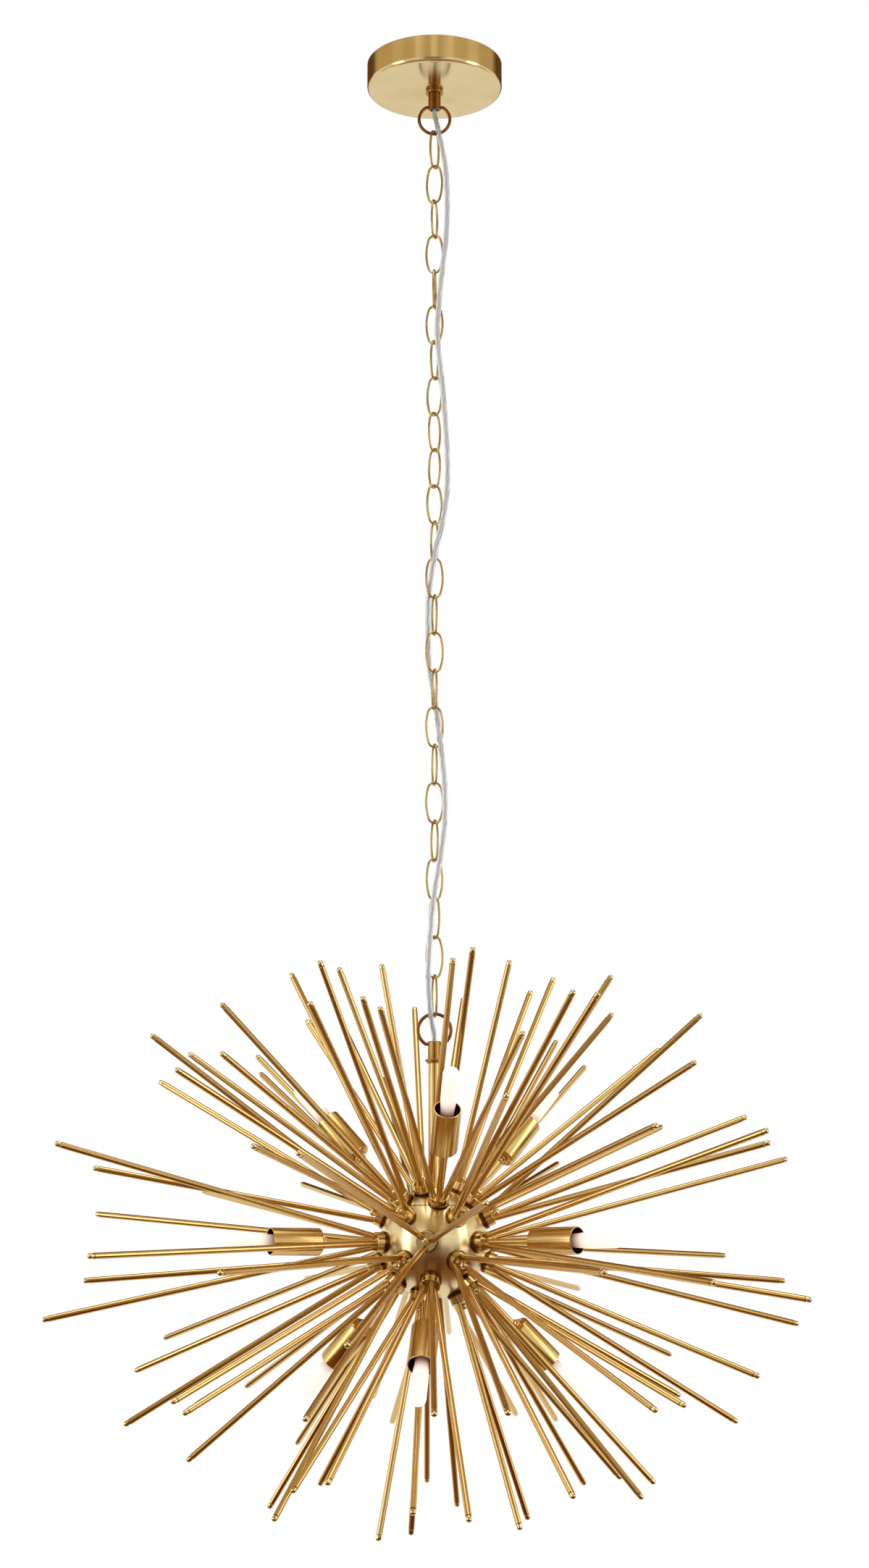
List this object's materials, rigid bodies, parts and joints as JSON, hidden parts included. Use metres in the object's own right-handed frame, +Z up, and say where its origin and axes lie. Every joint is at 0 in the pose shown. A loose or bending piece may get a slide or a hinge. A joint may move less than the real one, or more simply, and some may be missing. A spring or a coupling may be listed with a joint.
{
  "type": "pendant light",
  "caption": "Brass pendant light with a ball hub, a burst of splayed rods, capsule lamps in cups, a link chain with clear cord and a round ceiling canopy",
  "frame": {"origin": "centre of the crossbar and canopy rim on the ceiling plane", "axes": "+X along the crossbar and both hinge pins, +Y away from the picture's viewer, +Z up into the ceiling"},
  "size_m": [0.6681, 0.6915, 1.3788],
  "materials": {
    "satin_brass": "satin brushed",
    "rod_brass": "satin drawn",
    "aged_brass": "aged satin",
    "chain_brass": "satin",
    "zinc_steel": "zinc plated",
    "clear_cord": "clear, silver core",
    "block_plastic": "matte",
    "ceramic": "glazed ceramic",
    "bulb_glass": "frosted"
  },
  "bodies": {
    "ceiling_rose": {"canopy": "satin_brass", "crossbar": "zinc_steel", "nipple": "zinc_steel", "nipple_locknut": "zinc_steel", "terminal_block": "block_plastic", "earth_screw": "zinc_steel", "upper_collar": "satin_brass", "upper_cup": "aged_brass"},
    "hanger": {"upper_ring": "aged_brass", "chain": "chain_brass", "cord": "clear_cord", "lower_ring": "aged_brass"},
    "burst": {"lower_cup": "aged_brass", "lower_collar": "satin_brass", "stem": "satin_brass", "stem_washer": "zinc_steel", "stem_nut": "zinc_steel", "hub_shell": "satin_brass", "hub_cap": "satin_brass", "rod_bosses": "satin_brass", "socket_bosses": "satin_brass", "boss_screws": "satin_brass", "top_rods": "rod_brass", "upper_rods": "rod_brass", "upper_middle_rods": "rod_brass", "equator_rods": "rod_brass", "lower_middle_rods": "rod_brass", "lower_rods": "rod_brass", "bottom_rods": "rod_brass", "socket_arms": "rod_brass", "socket_nuts": "satin_brass", "socket_cups": "satin_brass", "lampholders": "ceramic", "bulb_bases": "bulb_glass", "bulb_glass": "bulb_glass"}
  },
  "joints": [
    {"name": "upper_swing", "type": "hinge", "parent": "ceiling_rose", "child": "hanger", "pos_m": [0, 0, -0.04335], "axis": [1, 0, 0], "range_deg": [-15, 15]},
    {"name": "lower_swing", "type": "hinge", "parent": "hanger", "child": "burst", "pos_m": [0, 0, -0.94771], "axis": [1, 0, 0], "range_deg": [-15, 15]}
  ]
}
